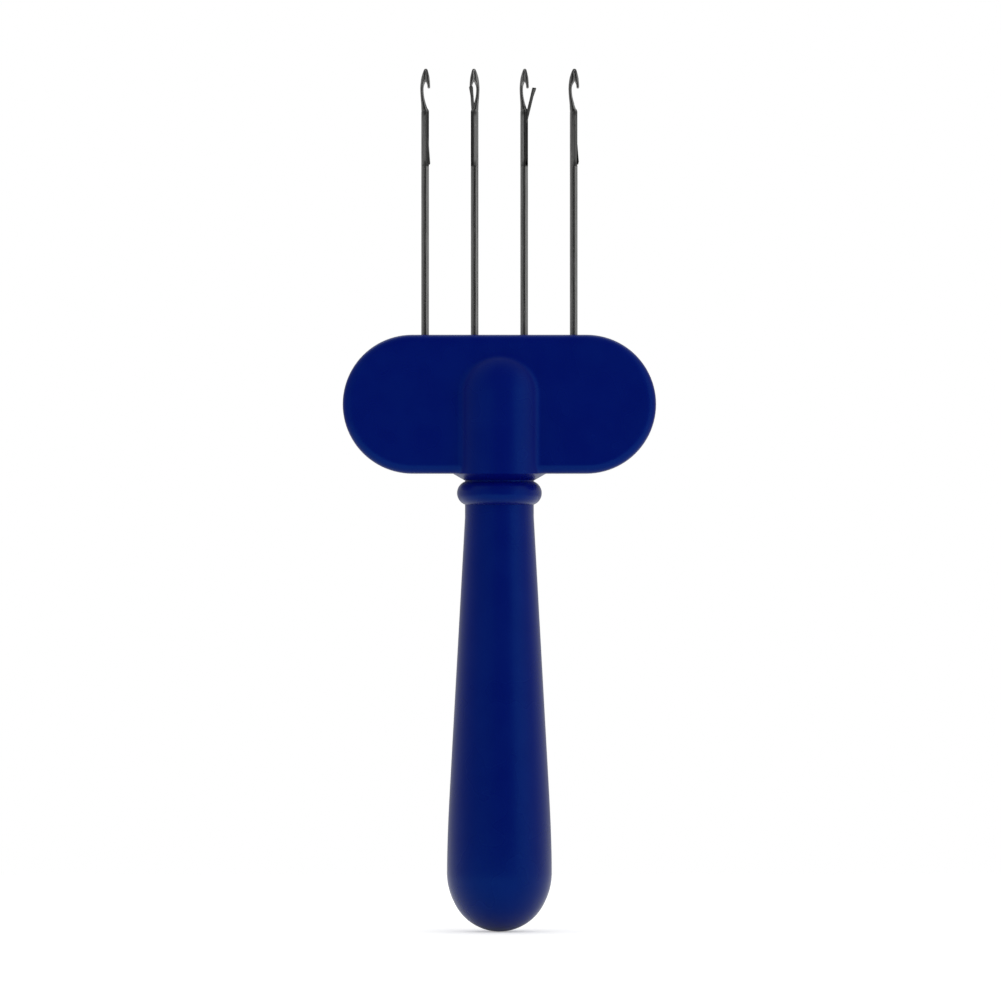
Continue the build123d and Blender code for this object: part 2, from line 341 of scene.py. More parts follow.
def shade(piece, smooth_angle):
    """Smooth shading, with an edge kept sharp where faces meet at more than an angle."""
    piece.data.shade_smooth()
    piece.data.set_sharp_from_angle(angle=radians(smooth_angle))
    return piece


print("piece helpers ready")

# %% [markdown]
# ## A geometry-node tree for round bars
# The handle is turned on a lathe and the needles are drawn from wire, so both are round bars whose
# radius changes along a path. One tree makes both: it reads a chain of points with a radius at each
# of them, and sweeps a circle along it. Its inputs are the number of sides and the material.

# %% Round bar tree
MERGE_DISTANCE = 0.0001 * MM
GEOMETRY = (("Geometry", "Geometry"),)


def start_tree(name, inputs):
    """A geometry-node tree with a mesh going in and out, and the named inputs."""
    tree = bpy.data.node_groups.new(name, "GeometryNodeTree")
    add_sockets(tree, "INPUT", GEOMETRY + inputs)
    add_sockets(tree, "OUTPUT", GEOMETRY)
    return tree, tree.nodes.new("NodeGroupInput")


def finish_tree(tree, given, last):
    """End a tree: make what its last node gives real, and put the material on it."""
    realize = tree.nodes.new("GeometryNodeRealizeInstances")
    finish = tree.nodes.new("GeometryNodeSetMaterial")
    connect(
        tree,
        (last, "Geometry", realize, "Geometry"),
        (realize, "Geometry", finish, "Geometry"),
        (given, "Material", finish, "Material"),
        (finish, "Geometry", tree.nodes.new("NodeGroupOutput"), "Geometry"),
    )
    return tree


def round_bar_tree():
    """Sweep a circle along a chain of points that carry a radius."""
    tree, given = start_tree("round_bar", (("Sides", "Int"), ("Material", "Material")))
    kinds = ("MeshToCurve", "CurvePrimitiveCircle", "InputNamedAttribute", "CurveToMesh", "MergeByDistance")
    path, circle, radius, sweep, merge = (tree.nodes.new("GeometryNode" + kind) for kind in kinds)
    radius.data_type = "FLOAT"
    radius.inputs["Name"].default_value = "bar_radius"
    circle.inputs["Radius"].default_value = 1
    sweep.inputs["Fill Caps"].default_value = True
    merge.inputs["Distance"].default_value = MERGE_DISTANCE
    connect(
        tree,
        (given, "Geometry", path, "Mesh"),
        (given, "Sides", circle, "Resolution"),
        (path, "Curve", sweep, "Curve"),
        (circle, "Curve", sweep, "Profile Curve"),
        (radius, "Attribute", sweep, "Scale"),
        (sweep, "Mesh", merge, "Geometry"),
    )
    return finish_tree(tree, given, merge)


ROUND_BAR = round_bar_tree()
print("tree ready:", ROUND_BAR.name)

# %% [markdown]
# ## Sweep a bar
# A modifier runs the tree on a chain of points. The result becomes a plain mesh, and its faces are
# turned outwards.

# %% Sweep a bar
def set_inputs(modifier, values):
    """Set a modifier's inputs, which are looked up by name and set by identifier."""
    for item in modifier.node_group.interface.items_tree:
        if item.in_out == "INPUT" and item.name in values:
            modifier[item.identifier] = values[item.name]


def round_bar(name, path, sides, material):
    """A round bar along a path of (x, z, radius) points."""
    mesh = bpy.data.meshes.new(name)
    mesh.from_pydata([(x, 0, z) for x, z, _ in path], [(k, k + 1) for k in range(len(path) - 1)], [])
    radii = mesh.attributes.new("bar_radius", "FLOAT", "POINT")
    radii.data.foreach_set("value", [radius for _, _, radius in path])
    piece = link_piece(mesh, name)
    modifier = piece.modifiers.new("bar", "NODES")
    modifier.node_group = ROUND_BAR
    set_inputs(modifier, {"Sides": sides, "Material": material})
    settle(piece)
    if "bar_radius" in piece.data.attributes:
        piece.data.attributes.remove(piece.data.attributes["bar_radius"])
    bm = bmesh.new()
    bm.from_mesh(piece.data)
    bmesh.ops.recalc_face_normals(bm, faces=bm.faces)
    bm.to_mesh(piece.data)
    bm.free()
    return piece


print("bars can be swept")

# %% [markdown]
# ## Points on curves
# Turned outlines, bent wire and cutters all follow arcs and smooth curves. These helpers give their
# points. An easing curve leaves its start and arrives at its end along the ways that it is given.

# %% Points on curves
def between(first, last, share):
    """A number at a share of the way from a first one to a last one."""
    return first + (last - first) * share


def arc_points(centre, radius, first, last, steps):
    """Points on an arc in a plane, from a first angle to a last one in degrees."""
    turns = [radians(first + (last - first) * k / steps) for k in range(steps + 1)]
    return [(centre[0] + radius * cos(t), centre[1] + radius * sin(t)) for t in turns]


def circle_points(centre, radius, count):
    """Points round a whole circle."""
    return arc_points(centre, radius, 0, 360 - 360 / count, count - 1)


def easing_curve(start, start_way, end, end_way, steps):
    """Points on a smooth curve that leaves and arrives along the given ways."""
    points = []
    for k in range(steps + 1):
        t = k / steps
        weights = (2 * t**3 - 3 * t**2 + 1, t**3 - 2 * t**2 + t, 3 * t**2 - 2 * t**3, t**3 - t**2)
        corners = zip(start, start_way, end, end_way)
        points.append(tuple(sum(w * value for w, value in zip(weights, corner)) for corner in corners))
    return points


print("curve helpers ready")

# %% [markdown]
# ## The handle
# The real handle is moulded to a turned outline: a rounded butt that is slightly pointed, a swelling
# grip, a long straight taper, a plain neck and a round bead under the head. Its outline is written
# as a radius at each height, and the round bar tree turns it.

# %% Turn the handle
BUTT_RADIUS = 9.5 * MM
BUTT_ANGLE = 60  # how far round the butt is a true arc, in degrees
GRIP_RADIUS = 10.05 * MM
WIDEST_HEIGHT = 11.0 * MM
FLANK_RADIUS = 9.45 * MM
FLANK_HEIGHT = 28.3 * MM
NECK_RADIUS = 6.6 * MM
TAPER_END = 79.5 * MM
BEAD_RADIUS = 8.13 * MM
BEAD_SECTION = 2.4 * MM
BEAD_HEIGHT = SHOULDER - BEAD_SECTION
HANDLE_SIDES = 144
BUTT_STEPS, HEEL_STEPS, SWELL_STEPS, BEAD_STEPS = 20, 12, 16, 24


def handle_outline():
    """The handle's radius at each height, from the butt to the shoulder."""
    butt = arc_points((0, BUTT_RADIUS), BUTT_RADIUS, -90, -90 + BUTT_ANGLE, BUTT_STEPS)
    turn = radians(BUTT_ANGLE)
    widest = (GRIP_RADIUS, WIDEST_HEIGHT)
    reach = hypot(widest[0] - butt[-1][0], widest[1] - butt[-1][1])
    leaving = (cos(turn) * reach, sin(turn) * reach)
    heel = easing_curve(butt[-1], leaving, widest, (0, reach), HEEL_STEPS)
    rise = FLANK_HEIGHT - WIDEST_HEIGHT
    lean = (NECK_RADIUS - FLANK_RADIUS) / (TAPER_END - FLANK_HEIGHT)
    flank = (FLANK_RADIUS, FLANK_HEIGHT)
    swell = easing_curve(widest, (0, rise), flank, (lean * rise, rise), SWELL_STEPS)
    middle = BEAD_RADIUS - BEAD_SECTION
    half = degrees(acos((NECK_RADIUS - middle) / BEAD_SECTION))
    bead = arc_points((middle, BEAD_HEIGHT), BEAD_SECTION, -half, half, BEAD_STEPS)
    return butt + heel[1:] + swell[1:] + [(NECK_RADIUS, TAPER_END)] + bead + [(NECK_RADIUS, SHOULDER)]


handle_path = [(0, height, radius) for radius, height in handle_outline()]
handle = round_bar("handle_turned", handle_path, HANDLE_SIDES, plastic)
shade(handle, smooth_angle=30)
print("handle:", len(handle.data.polygons), "faces")

# %% [markdown]
# ## The head's plate
# The head is one moulding: an obround plate whose rims are well rounded, and a boss through its
# middle that takes the handle. The plate is a stack of obround rings, which a skin joins into a
# closed solid. Each ring lies a little further in and nearer to the broad face than the last.

# %% Shape the head's plate
RIM_WIDTH = 1.9 * MM  # how far the rounding reaches onto the broad face
RIM_DEPTH = 1.5 * MM
RIM_STEPS = 12
END_STEPS = 48


def piece_from(bm, name):
    """A piece from a bmesh, with doubles merged and faces turned outwards."""
    bmesh.ops.remove_doubles(bm, verts=bm.verts, dist=MERGE_DISTANCE)
    bmesh.ops.recalc_face_normals(bm, faces=bm.faces)
    mesh = bpy.data.meshes.new(name)
    bm.to_mesh(mesh)
    bm.free()
    return link_piece(mesh, name)


def skinned(name, rings):
    """A solid whose skin joins rings of equally many (x, y, z) points, one after another."""
    bm = bmesh.new()
    rings = [[bm.verts.new(point) for point in ring] for ring in rings]
    for low, high in zip(rings, rings[1:]):
        for k in range(len(low)):
            following = (k + 1) % len(low)
            bm.faces.new((low[k], low[following], high[following], high[k]))
    bm.faces.new(rings[0])
    bm.faces.new(rings[-1])
    return piece_from(bm, name)


def plate_depth(inset):
    """Half the plate's thickness at an inset from its outline."""
    if inset >= RIM_WIDTH:
        return HEAD_THICKNESS / 2
    return HEAD_THICKNESS / 2 - RIM_DEPTH * (1 - sqrt(1 - (1 - inset / RIM_WIDTH) ** 2))


def obround_ring(inset, depth):
    """One ring of points round the plate, at an inset from its outline and a depth along Y."""
    radius = HEAD_HEIGHT / 2 - inset
    middle = (HEAD_WIDTH - HEAD_HEIGHT) / 2
    ring = []
    for side, first in ((1, -90), (-1, 90)):
        centre = (side * middle, HEAD_LOW + HEAD_HEIGHT / 2)
        ring += [(x, depth, z) for x, z in arc_points(centre, radius, first, first + 180, END_STEPS)]
    return ring


insets = [RIM_WIDTH * (1 - sin(radians(90 * k / RIM_STEPS))) for k in range(RIM_STEPS + 1)]
plate_rings = [obround_ring(inset, -plate_depth(inset)) for inset in insets]
plate_rings += [obround_ring(inset, plate_depth(inset)) for inset in reversed(insets)]
head = skinned("head_moulded", plate_rings)
print("plate:", len(head.data.polygons), "faces")

# %% [markdown]
# ## The boss
# The boss has the outline of a hairpin: straight sides and a domed end. It runs into the plate with
# a small hollow curve, as mouldings do. A section over one of its sides is set at many places along
# the hairpin, and faces join each section to the next.

# %% Shape the boss
BOSS_RADIUS = 8.9 * MM
BOSS_FOOT_RADIUS = 6.65 * MM
BOSS_DOME_HEIGHT = HEAD_TOP - 11.2 * MM
HOLLOW = 2.0 * MM  # radius of the hollow curve between the boss and the plate
SINK = 0.004 * MM  # the curve ends this far inside the plate's face
FIRST_INSET = 0.01  # share of the rim's width at which the first section stands
BOSS_STEPS = 26
HOLLOW_STEPS = 10


def boss_section(depth):
    """Points (aside, depth) over one side of the boss, from its ridge to inside the plate."""
    aside = sqrt((BOSS_RADIUS + HOLLOW) ** 2 - (depth + HOLLOW) ** 2)
    meeting = degrees(atan2(aside, depth + HOLLOW))
    crown = arc_points((0, 0), BOSS_RADIUS, 90, 90 - meeting, BOSS_STEPS)
    hollow = arc_points((aside, depth + HOLLOW - SINK), HOLLOW, 270 - meeting, 270, HOLLOW_STEPS)
    return crown + hollow[1:] + [(aside + 2 * HOLLOW / HOLLOW_STEPS, depth / 2)]


def boss_stations():
    """Places along the hairpin: a middle point, a way aside, and the section there."""
    straight = []
    for radius, height in ((BOSS_FOOT_RADIUS, SHOULDER), (BOSS_RADIUS, HEAD_LOW)):
        ring = arc_points((0, 0), radius, 90, 0, BOSS_STEPS + HOLLOW_STEPS + 1)
        straight.append(((0, height), (-1, 0), ring))
    for k in range(RIM_STEPS + 1):
        inset = RIM_WIDTH * between(FIRST_INSET, 1, 1 - cos(radians(90 * k / RIM_STEPS)))
        straight.append(((0, HEAD_LOW + inset), (-1, 0), boss_section(plate_depth(inset))))
    dome = []
    section = boss_section(HEAD_THICKNESS / 2)
    for k in range(END_STEPS + 1):
        turn = radians(180 - 180 * k / END_STEPS)
        dome.append(((0, BOSS_DOME_HEIGHT), (cos(turn), sin(turn)), section))
    return straight + dome + [(middle, (1, 0), ring) for middle, _, ring in reversed(straight)]


def boss():
    """The boss as a closed bmesh: its front, its back, the wall between them and its foot."""
    bm = bmesh.new()
    columns = []
    for middle, way, section in boss_stations():
        places = [(middle[0] + way[0] * u, depth, middle[1] + way[1] * u) for u, depth in section]
        front = [bm.verts.new((x, -depth, z)) for x, depth, z in places]
        back = [bm.verts.new((x, depth, z)) for x, depth, z in places]
        columns.append(front + back[::-1])
    for near, far in zip(columns, columns[1:]):
        for k in range(len(near) - 1):
            bm.faces.new((near[k], near[k + 1], far[k + 1], far[k]))
    bmesh.ops.remove_doubles(bm, verts=bm.verts, dist=MERGE_DISTANCE)
    bmesh.ops.holes_fill(bm, edges=[edge for edge in bm.edges if edge.is_boundary], sides=0)
    return bm


boss_piece = piece_from(boss(), "boss")
print("boss:", len(boss_piece.data.polygons), "faces")

# %% [markdown]
# ## One moulding
# A boolean union makes the plate and the boss one skin, as they come out of one mould. A boolean
# can leave slivers where two surfaces nearly touch, so the result is cleaned and measured. A
# weighted-normal modifier then keeps the broad faces evenly lit.

# %% Join the boss to the plate
SLIVER = 0.0005 * MM


def combine(piece, operation, tool, tight_bend=False):
    """Join a tool shape to a piece, or cut it away from it, and delete the tool."""
    cut = piece.modifiers.new(operation.lower(), "BOOLEAN")
    cut.operation = operation
    cut.solver = "EXACT"
    cut.object = tool
    cut.use_self = tight_bend
    settle(piece)
    bpy.data.objects.remove(tool)
    return piece


def clean(piece):
    """Merge the slivers that cuts leave behind, and print whether the piece is still closed."""
    bm = bmesh.new()
    bm.from_mesh(piece.data)
    bmesh.ops.triangulate(bm, faces=[face for face in bm.faces if len(face.verts) > 4])
    bmesh.ops.remove_doubles(bm, verts=bm.verts, dist=SLIVER)
    bmesh.ops.dissolve_degenerate(bm, edges=bm.edges, dist=SLIVER)
    stacks = {}
    for face in bm.faces:
        stacks.setdefault(frozenset(face.verts), []).append(face)
    doubled = [face for stack in stacks.values() if len(stack) > 1 for face in stack]
    bmesh.ops.delete(bm, geom=doubled, context="FACES")
    open_edges = sum(not edge.is_manifold for edge in bm.edges)
    print(piece.name, round(bm.calc_volume() / MM**3, 2), "mm3,", open_edges, "open edges")
    bm.to_mesh(piece.data)
    bm.free()


combine(head, "UNION", boss_piece)
clean(head)
head.data.materials.clear()
head.data.materials.append(plastic)
shade(head, smooth_angle=28)
balance = head.modifiers.new("balance", "WEIGHTED_NORMAL")
balance.keep_sharp = True
settle(head)
for piece, node in ((handle, "handle"), (head, "head")):
    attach(piece, "tool")
    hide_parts(node)
print("head:", len(head.data.polygons), "faces")

# %% [markdown]
# ## The hook's bends
# A latch needle is one steel wire. Its end is drawn out thin and bent into a hook: a stem that leans
# over, a small tight bend at the crown, and a beak that comes down again. Each is an arc that
# touches the next one, so the wire has no kink. The needle is made on the tool's axis with its hook
# open towards +X, and placed later.

# %% Arcs of the hook
STEM_RADIUS = 0.32 * MM
STEM_SETBACK = 0.68 * MM  # how far the stem stands behind the needle's axis
STEM_HEIGHT = TIP_HEIGHT - 3.9 * MM  # where the stem starts to bend
CROWN_OFFSET = 0.14 * MM
CROWN_BEND = 0.22 * MM
CROWN_WIRE = 0.21 * MM  # the wire's radius at the crown, where it is drawn out most
BEAK_OFFSET = 0.79 * MM
BEAK_HEIGHT = TIP_HEIGHT - 3.58 * MM
BEAK_RADIUS = 0.262 * MM
ARC_STEPS = 20
BOW_STEPS = 14


def hook_arcs():
    """The arcs of the stem, of the crown's small bend and of the beak, as (x, z) points."""
    crown = (CROWN_OFFSET, TIP_HEIGHT - CROWN_BEND - CROWN_WIRE)
    ends = []
    for offset, height in ((-STEM_SETBACK, STEM_HEIGHT), (BEAK_OFFSET, BEAK_HEIGHT)):
        run, rise = abs(crown[0] - offset), crown[1] - height
        bend = (run**2 + rise**2 - CROWN_BEND**2) / (2 * (run - CROWN_BEND))
        facing = 1 if offset < 0 else -1
        centre = (offset + facing * bend, height)
        turn = degrees(atan2(crown[1] - centre[1], crown[0] - centre[0])) % 360
        ends.append((centre, bend, turn))
    (stem_centre, stem_bend, stem_turn), (beak_centre, beak_bend, beak_turn) = ends
    stem = arc_points(stem_centre, stem_bend, 180, stem_turn, ARC_STEPS)
    bow = arc_points(crown, CROWN_BEND, stem_turn, beak_turn, BOW_STEPS)
    return stem, bow, arc_points(beak_centre, beak_bend, beak_turn, 0, ARC_STEPS)


stem_arc, crown_bow, beak_arc = hook_arcs()
print("the stem meets the crown", round(stem_arc[-1][1] / MM, 2), "mm up")

# %% [markdown]
# ## The wire's path
# The thick shank narrows into the stem through a scoop, whose back and open side follow curves of
# their own. The stem and the beak swell a little before the crown, as wire does where it is pressed
# round a tight bend. The hook is two bars that overlap at the crown, each with a rounded end,
# because one bar could not turn that sharply without folding over itself.

# %% Path of the wire
NEEDLE_FOOT = HEAD_TOP - 8.0 * MM
STEM_SWELL = 0.24 * MM  # how much thicker the wire is between the stem and the crown
BEAK_SWELL = 0.23 * MM
SWELL_LEAN = 1.2  # above 1, the thickest place lies nearer to the crown
SCOOP_STEPS = 6
BOW_MIDDLE = BOW_STEPS // 2
END_TURNS = (20, 40, 58, 74, 90)  # degrees round a bar's rounded end

# The scoop between the cheeks and the stem: a share of the way up, then the share of the way that
# its back and its open side have gone from the wire's place to the stem's
SCOOP = ((0.0, 0.0, 0.0), (0.12, 0.08, 0.26), (0.34, 0.20, 0.56), (0.68, 0.72, 0.90), (1.0, 1.0, 1.0))


def smooth_through(rows, steps):
    """Rows of numbers on smooth curves through the given rows, whose first column is the way up."""
    slopes = [(1, 0, 0)]
    for before, after in zip(rows, rows[2:]):
        slopes.append([(b - a) / (after[0] - before[0]) for a, b in zip(before, after)])
    slopes.append((1, 0, 0))
    result = []
    for k in range(len(rows) - 1):
        run = rows[k + 1][0] - rows[k][0]
        leaving, arriving = ([run * slope for slope in slopes[n]] for n in (k, k + 1))
        result += easing_curve(rows[k], leaving, rows[k + 1], arriving, steps)[:-1]
    return result + [rows[-1]]


def swelling(most, share):
    """How far the wire swells at a share of the way to the crown."""
    return most * sin(pi * share**SWELL_LEAN) ** 2


def thinning(radius, share):
    """The wire's radius as it thins towards the crown, at a share of the way to it."""
    return between(radius, CROWN_WIRE, share**4)


def rounded_end(before, end, radius):
    """Points that close a bar with a rounded end beyond its last point."""
    way = (end[0] - before[0], end[1] - before[1])
    length = hypot(*way)
    points = []
    for turn in END_TURNS:
        reach = radius * sin(radians(turn)) / length
        x, z = (start + step * reach for start, step in zip(before, way))
        points.append((x, z, radius * cos(radians(turn))))
    return points


def needle_path():
    """The path of the shank, the stem and half the crown, as (x, z, radius) points."""
    path = [(0, NEEDLE_FOOT, WIRE_RADIUS)]
    for up, back_share, front_share in smooth_through(SCOOP, SCOOP_STEPS)[:-1]:
        back = between(WIRE_RADIUS, STEM_SETBACK + STEM_RADIUS, back_share)
        front = between(WIRE_RADIUS, STEM_RADIUS - STEM_SETBACK, front_share)
        path.append(((front - back) / 2, between(MOUTH_HEIGHT, STEM_HEIGHT, up), (front + back) / 2))
    for k, (x, z) in enumerate(stem_arc):
        swell = swelling(STEM_SWELL, k / ARC_STEPS)
        path.append((x + swell, z, thinning(STEM_RADIUS, k / ARC_STEPS) + swell))
    path += [(x, z, CROWN_WIRE) for x, z in crown_bow[1:BOW_MIDDLE + 1]]
    return path + rounded_end(crown_bow[BOW_MIDDLE], crown_bow[BOW_MIDDLE + 1], CROWN_WIRE)


def beak_path():
    """The beak's path, from the crown to its rounded end."""
    path = [(x, z, CROWN_WIRE) for x, z in crown_bow[BOW_MIDDLE - 1:-1]]
    for k, (x, z) in enumerate(beak_arc):
        share = 1 - k / ARC_STEPS
        swell = swelling(BEAK_SWELL, share)
        path.append((x - swell, z, thinning(BEAK_RADIUS, share) + swell))
    foot, below = (BEAK_OFFSET, BEAK_HEIGHT), (BEAK_OFFSET, BEAK_HEIGHT - BEAK_RADIUS)
    return path + rounded_end(foot, below, BEAK_RADIUS)


print("path points:", len(needle_path()), "to the crown,", len(beak_path()), "over the beak")

# %% [markdown]
# ## Bend the wire
# The two bars are joined into one wire. The bend is so tight that the steel closes up inside it,
# which a small web does here. A real hook is also pressed in a die, which makes it thinner.

# %% Bend the wire
WIRE_SIDES = 40
BEAK_SIDES = 36  # not the wire's number, so that no faces of the two bars coincide
WEB_HALF = 0.10 * MM
WEB_LOW = 1.2 * MM
WEB_HIGH = 0.42 * MM
PRESSED = 0.72  # the crown is pressed to this share of its thickness
PRESSING_RUN = 1.8 * MM


def prism(name, outline, low, high):
    """A solid with an outline of (x, z) points that reaches from one place along Y to another."""
    return skinned(name, [[(x, y, z) for x, z in outline] for y in (low, high)])


needle = round_bar("needle", needle_path(), WIRE_SIDES, wire_steel)
combine(needle, "UNION", round_bar("beak", beak_path(), BEAK_SIDES, wire_steel), tight_bend=True)
left, right = CROWN_OFFSET - WEB_HALF, CROWN_OFFSET + WEB_HALF
low, high = TIP_HEIGHT - WEB_LOW, TIP_HEIGHT - WEB_HIGH
web = ((left, low), (right, low), (right, high), (left, high))
combine(needle, "UNION", prism("web", web, -WEB_HALF, WEB_HALF))
for vertex in needle.data.vertices:
    way = min(max((vertex.co.z - STEM_HEIGHT) / PRESSING_RUN, 0), 1)
    vertex.co.y *= 1 - (1 - PRESSED) * way**2 * (3 - 2 * way)
print("needle wire:", len(needle.data.polygons), "faces, tip at", round(TIP_HEIGHT / MM, 2), "mm")

# %% [markdown]
# ## The latch's places
# The latch turns on a rivet just below the mouth. Closed, its cup lies round the beak's end; folded
# back, the cup lies in a pocket of the cheeks. Both places follow from a few lengths.

# %% Places of the latch
PIVOT_OFFSET = 0.15 * MM
LATCH_REACH = 7.32 * MM  # from the pivot up to the beak's end
PIVOT_HEIGHT = BEAK_HEIGHT - LATCH_REACH
FOLDED_LEAN = 4.8  # degrees that the folded blade leans out
CUP_OFFSET = 0.12 * MM
CUP_INNER = BEAK_RADIUS + 0.03 * MM
CUP_OUTER = CUP_INNER + 0.07 * MM
POCKET_GAP = 0.05 * MM

cup_distance = hypot(BEAK_OFFSET - PIVOT_OFFSET, LATCH_REACH)
cup_along = sqrt(cup_distance**2 - CUP_OFFSET**2)
cup_turn = degrees(atan2(BEAK_OFFSET - PIVOT_OFFSET, LATCH_REACH))
closed_lean = cup_turn - degrees(asin(CUP_OFFSET / cup_distance))
latch_swing = 180 - FOLDED_LEAN - closed_lean


def on_blade(lean, along, inward):
    """The (x, z) place of a point on the latch, which leans out from upright by an angle."""
    t = radians(lean)
    return (
        PIVOT_OFFSET + along * sin(t) - inward * cos(t),
        PIVOT_HEIGHT + along * cos(t) + inward * sin(t),
    )


folded_cup = on_blade(180 - FOLDED_LEAN, cup_along, -CUP_OFFSET)
pocket_radius = CUP_OUTER + POCKET_GAP
print("the latch swings", round(latch_swing, 1), "degrees")
print("its folded cup is", round(folded_cup[1] / MM, 2), "mm up")

# %% [markdown]
# ## The cheeks
# On the real needle a mill takes a flat off each side, a thin saw cuts the slot between the cheeks,
# and a round cutter sinks the pocket of the folded cup. Here a boolean cuts a simple solid away for
# each of them, and the solids pass well through the wire, so that no thin skin is left.

# %% Cut the cheeks
OVERRUN = 1.0 * MM
CHEEK_THICKNESS = 1.24 * MM  # over both cheeks
FLAT_WIDTH = 0.9 * MM
FLAT_TOP = MOUTH_HEIGHT + 1.6 * MM
SLOT_WIDTH = 0.41 * MM
ROOT_HEIGHT = 0.56 * MM  # the latch blade's height at its root
EYE_RADIUS = 0.40 * MM
CUP_NECK = 2.0 * MM
RIVET_HOLE = 0.19 * MM
CUTTER_STEPS = 24
POCKET_SIDES = 40


def cut_flats(piece):
    """Cut a flat with round ends off each side."""
    foot = folded_cup[1] - pocket_radius
    radius = FLAT_WIDTH / 2
    flat = arc_points((0, FLAT_TOP - radius), radius, 0, 180, CUTTER_STEPS)
    flat += arc_points((0, foot + radius), radius, 180, 360, CUTTER_STEPS)
    for low, high in ((CHEEK_THICKNESS / 2, OVERRUN), (-OVERRUN, -CHEEK_THICKNESS / 2)):
        combine(piece, "DIFFERENCE", prism("flat", flat, low, high))


def cut_slot(piece):
    """Cut the slot between the cheeks, and room for the latch's eye."""
    half = ROOT_HEIGHT / 2 + POCKET_GAP
    folded = 180 - FOLDED_LEAN
    slot = [
        on_blade(closed_lean, FLAT_TOP - PIVOT_HEIGHT, half),
        on_blade(closed_lean, 0, half),
        on_blade(folded, 0, -half),
        on_blade(folded, cup_along - CUP_NECK / 2, -half),
    ]
    slot += [(WIRE_RADIUS + OVERRUN, slot[-1][1]), (WIRE_RADIUS + OVERRUN, slot[0][1])]
    room = circle_points((PIVOT_OFFSET, PIVOT_HEIGHT), EYE_RADIUS + POCKET_GAP, CUTTER_STEPS)
    for name, outline in (("slot", slot), ("eye_room", room)):
        combine(piece, "DIFFERENCE", prism(name, outline, -SLOT_WIDTH / 2, SLOT_WIDTH / 2))


def turned(name, profile, centre, sides):
    """A solid turned about a line along X through a centre, from (radius, x) points."""
    turns = [2 * pi * k / sides for k in range(sides)]
    rings = []
    for radius, x in profile:
        rings.append([(centre[0] + x, radius * cos(t), centre[1] + radius * sin(t)) for t in turns])
    return skinned(name, rings)


def cut_pocket(piece):
    """Cut the round pocket of the folded cup, and its narrowing way up to the slot."""
    bottom = folded_cup[0] - pocket_radius
    reach = WIRE_RADIUS + OVERRUN - bottom
    profile = ((pocket_radius, 0), (pocket_radius, reach))
    combine(piece, "DIFFERENCE", turned("pocket", profile, (bottom, folded_cup[1]), POCKET_SIDES))
    half = SLOT_WIDTH / 2
    section = ((pocket_radius, 0), (half, CUP_NECK), (-half, CUP_NECK), (-pocket_radius, 0))
    ends = [[(x, y, folded_cup[1] + rise) for y, rise in section] for x in (bottom, bottom + reach)]
    combine(piece, "DIFFERENCE", skinned("pocket_way", ends))


cut_flats(needle)
cut_slot(needle)
cut_pocket(needle)
rivet_hole = circle_points((PIVOT_OFFSET, PIVOT_HEIGHT), RIVET_HOLE, CUTTER_STEPS)
combine(needle, "DIFFERENCE", prism("rivet_hole", rivet_hole, -OVERRUN, OVERRUN))
clean(needle)
shade(needle, smooth_angle=35)
made_at = needle.data.attributes.new("made_at", "FLOAT_VECTOR", "POINT")
for vertex, spot in zip(needle.data.vertices, made_at.data):
    spot.vector = vertex.co
print("cut needle:", len(needle.data.polygons), "faces")

# %% [markdown]
# ## One latch
# The latch is a pressed blade with a flat eye at one end and a small spoon at the other. It is made
# with its pivot at the origin and its blade straight up, so that one turn about Y opens it. The
# blade, the neck and the bowl of the cup are joined, then the cup is trimmed to an arch and hollowed.

# %% Shape a latch
LATCH_THICKNESS = 0.32 * MM
END_HEIGHT = 0.50 * MM  # the blade's height at its cup
CUP_DEPTH = 0.24 * MM
CUP_LIP = 0.20 * MM
NECK_STEPS = 8
NECK_SIDE, NECK_OUTER, NECK_INNER = 0.96, 0.9, 0.8  # shares of the cup's radius that it widens to
EYE_HOLE = 0.22 * MM
ROUND_SIDES = 36
CHANNEL_STEPS = 12
BOWL_TURNS = (88, 75, 60, 45, 30, 15, 0)  # degrees round the bowl, from its bottom to its rim

# The cup's rim seen from the side: places outwards and upwards from the cup's centre
CUP_ARCH = (
    (-0.30 * MM, -0.10 * MM),
    (-0.12 * MM, CUP_LIP - 0.05 * MM),
    (0.05 * MM, CUP_LIP),
    (0.28 * MM, CUP_LIP),
    (0.55 * MM, -0.10 * MM),
)


def flat_blade():
    """The latch's flat blade with its round eye."""
    half = LATCH_THICKNESS / 2
    root, end = ROOT_HEIGHT / 2, END_HEIGHT / 2
    outline = ((-root, 0), (root, 0), (end, cup_along), (-end, cup_along))
    blade = prism("latch", outline, -half, half)
    eye = circle_points((0, 0), EYE_RADIUS, ROUND_SIDES)
    return combine(blade, "UNION", prism("eye", eye, -half, half))


def widening_neck():
    """The six-sided neck that widens from the blade to the cup."""
    rings = []
    for k in range(NECK_STEPS + 1):
        share = k / NECK_STEPS
        height = cup_along - CUP_NECK * (1 - share)
        side = between(LATCH_THICKNESS / 2, NECK_SIDE * CUP_OUTER, share)
        outer = between(END_HEIGHT / 2, CUP_OFFSET + NECK_OUTER * CUP_OUTER, share)
        inner = between(-END_HEIGHT / 2, CUP_OFFSET - NECK_INNER * CUP_OUTER, share)
        bend = outer - (outer - inner) / 4
        front = ((inner, -side), (bend, -side), (outer, -side / 2))
        back = ((outer, side / 2), (bend, side), (inner, side))
        rings.append([(x, y, height) for x, y in front + back])
    return skinned("neck", rings)


def bowl(name, radius, mouth):
    """The bowl of a cup, turned about its own centre, from its bottom to its mouth."""
    profile = [(radius * cos(radians(t)), radius * sin(radians(t))) for t in BOWL_TURNS]
    return turned(name, profile + [(radius, mouth)], (CUP_OFFSET, cup_along), ROUND_SIDES)


